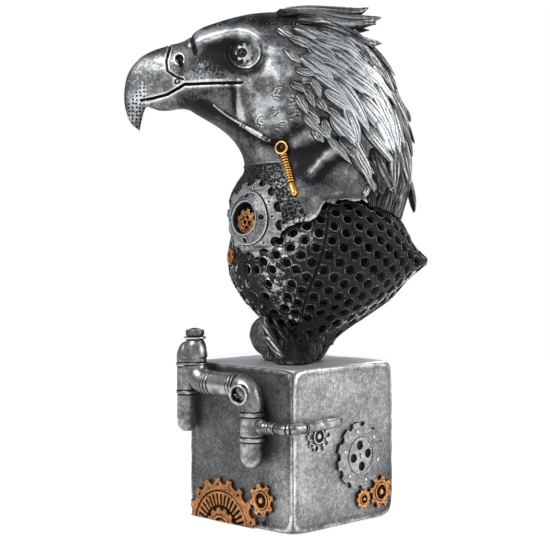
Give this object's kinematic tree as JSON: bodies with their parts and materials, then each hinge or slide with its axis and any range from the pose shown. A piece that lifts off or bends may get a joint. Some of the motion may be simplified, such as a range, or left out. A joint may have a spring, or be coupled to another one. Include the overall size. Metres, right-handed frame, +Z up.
{
  "type": "steampunk eagle sculpture",
  "caption": "Bust of an eagle on a square plinth: feathered head turned to its right, hollow perforated mantle, and applied gears and pipework in antique silver and copper.",
  "frame": {"origin": "centre of the plinth's underside", "axes": "+Z up; -Y out of the plinth face that carries the big pipe; +X out of the face that carries the silver gear, which is the eagle's left"},
  "size_m": [0.1369, 0.1694, 0.3167],
  "materials": {
    "antique_silver": "antique silver, dark in the hollows",
    "dark_silver": "blackened silver, bright on the edges",
    "plinth_grey": "mottled silver grey, satin",
    "pipe_steel": "brushed antique silver",
    "worn_copper": "copper paint worn to brown"
  },
  "bodies": {
    "root": {"plinth": "plinth_grey", "front_pipe": "pipe_steel", "rear_pipe": "pipe_steel", "branch_pipe": "pipe_steel", "half_gear": "worn_copper", "front_pinion": "worn_copper", "side_gear": "antique_silver", "side_pinion": "worn_copper", "small_pinion": "worn_copper", "idler_gear": "antique_silver", "perforated_mantle": "dark_silver", "feathered_foot": "antique_silver", "head_and_neck": "antique_silver", "throat_gear": "antique_silver", "throat_pinion": "worn_copper", "chest_ring": "worn_copper", "left_jaw_rod": "antique_silver", "right_jaw_rod": "antique_silver", "left_cheek_ring": "worn_copper", "right_cheek_ring": "worn_copper", "left_spring_rod": "worn_copper", "right_spring_rod": "worn_copper"}
  },
  "joints": []
}
